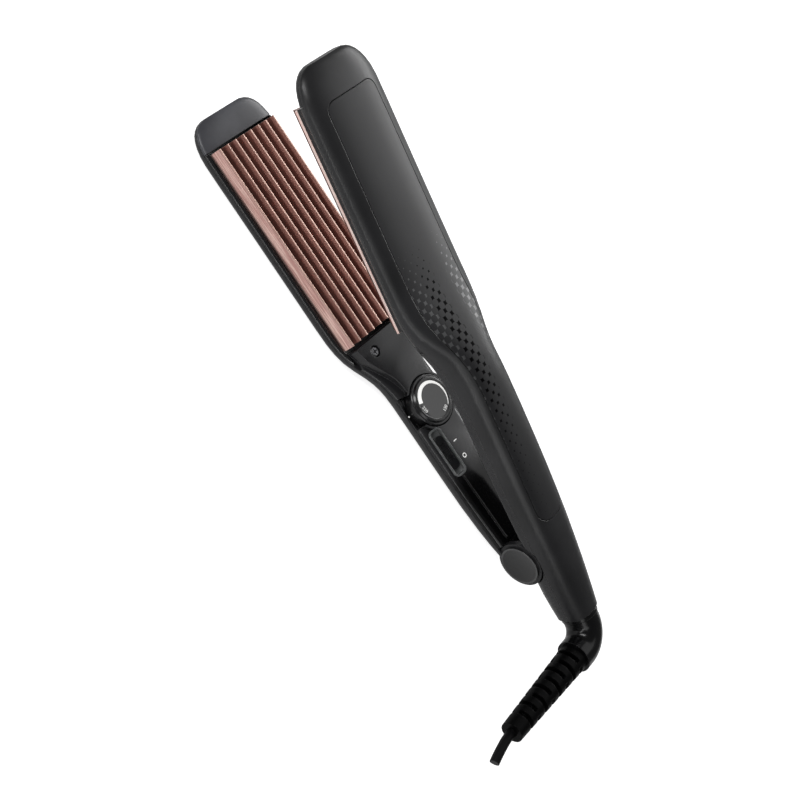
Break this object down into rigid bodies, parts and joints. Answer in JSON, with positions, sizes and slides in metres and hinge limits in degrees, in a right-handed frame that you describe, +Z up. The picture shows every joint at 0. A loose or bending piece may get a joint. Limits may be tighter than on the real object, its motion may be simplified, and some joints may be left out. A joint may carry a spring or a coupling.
{
  "type": "hair crimper",
  "caption": "Electric hair crimper: two hinged arms with meshing ridged plates, temperature dial, slide switch, hinge lock and swivelling ribbed cord exit.",
  "frame": {"origin": "on the flat rest face under the lower arm, below the middle of the lower plate", "axes": "+X along the lower arm towards the tips, +Y towards the dial notch side, +Z up away from the flat rest face under the lower arm"},
  "size_m": [0.3221, 0.1162, 0.0889],
  "materials": {
    "shell_black": "satin",
    "cover_black": "gloss",
    "frame_black": "gloss",
    "tip_black": "satin",
    "plate_coat": "satin",
    "carrier_black": "matte",
    "heater_ceramic": "matte",
    "film_amber": "gloss",
    "clip_steel": "satin",
    "thermistor_glass": "gloss",
    "fuse_steel": "satin",
    "board_green": "satin",
    "parts_grey": "matte",
    "pot_blue": "matte",
    "bezel_black": "gloss",
    "switch_body": "matte",
    "screw_steel": "satin",
    "pin_steel": "polished",
    "cap_black": "gloss",
    "spring_steel": "satin",
    "panel_pattern": "patterned",
    "bush_black": "satin",
    "block_white": "matte",
    "dial_black": "satin",
    "shaft_brass": "satin",
    "slider_grey": "satin",
    "lock_black": "satin",
    "elbow_black": "gloss",
    "contact_brass": "polished",
    "boot_rubber": "satin",
    "cord_rubber": "matte"
  },
  "bodies": {
    "lower_arm": {"lower_outer_shell": "shell_black", "lower_inner_cover": "cover_black", "lower_plate_frame": "frame_black", "lower_tip_cap": "tip_black", "lower_crimp_plate": "plate_coat", "lower_plate_carrier": "carrier_black", "lower_heater": "heater_ceramic", "lower_heater_insulator": "film_amber", "lower_heater_clip": "clip_steel", "thermistor": "thermistor_glass", "thermal_fuse": "fuse_steel", "control_board": "board_green", "board_parts": "parts_grey", "potentiometer": "pot_blue", "switch_bezel": "bezel_black", "slide_switch": "switch_body", "cover_screws": "screw_steel", "hinge_pin": "pin_steel", "hinge_caps": "cap_black", "hinge_spring": "spring_steel"},
    "upper_arm": {"upper_outer_shell": "shell_black", "upper_decor_panel": "panel_pattern", "upper_inner_cover": "cover_black", "upper_plate_frame": "frame_black", "upper_tip_cap": "tip_black", "upper_crimp_plate": "plate_coat", "upper_plate_carrier": "carrier_black", "upper_heater": "heater_ceramic", "upper_heater_insulator": "film_amber", "upper_heater_clip": "clip_steel", "upper_cover_screws": "screw_steel", "swivel_bush": "bush_black", "contact_block": "block_white"},
    "dial": {"temperature_dial": "dial_black", "dial_shaft": "shaft_brass"},
    "slider": {"power_slider": "slider_grey"},
    "lock": {"lock_slider": "lock_black"},
    "cord_swivel": {"cord_elbow": "elbow_black", "swivel_contacts": "contact_brass", "bend_relief": "boot_rubber", "power_cord": "cord_rubber"}
  },
  "joints": [
    {"name": "arm_hinge", "type": "hinge", "parent": "lower_arm", "child": "upper_arm", "pos_m": [-0.1891, 0, 0.019], "axis": [0, 1, 0], "range_deg": [0, 13.3], "stiffness_Nm_per_rad": 0.8, "springref_deg": -45.84},
    {"name": "dial_turn", "type": "hinge", "parent": "lower_arm", "child": "dial", "pos_m": [-0.0988, 0, 0.019], "axis": [0, 0, 1], "range_deg": [0, 235]},
    {"name": "power_slide", "type": "slide", "parent": "lower_arm", "child": "slider", "axis": [-1, 0, 0], "range_m": [0, 0.003]},
    {"name": "lock_slide", "type": "slide", "parent": "upper_arm", "child": "lock", "axis": [0.9732, 0, 0.23], "range_m": [0, 0.0045]},
    {"name": "cord_turn", "type": "hinge", "parent": "upper_arm", "child": "cord_swivel", "pos_m": [-0.22655, 0, 0.02094], "axis": [0.9732, 0, 0.23], "continuous": true}
  ]
}
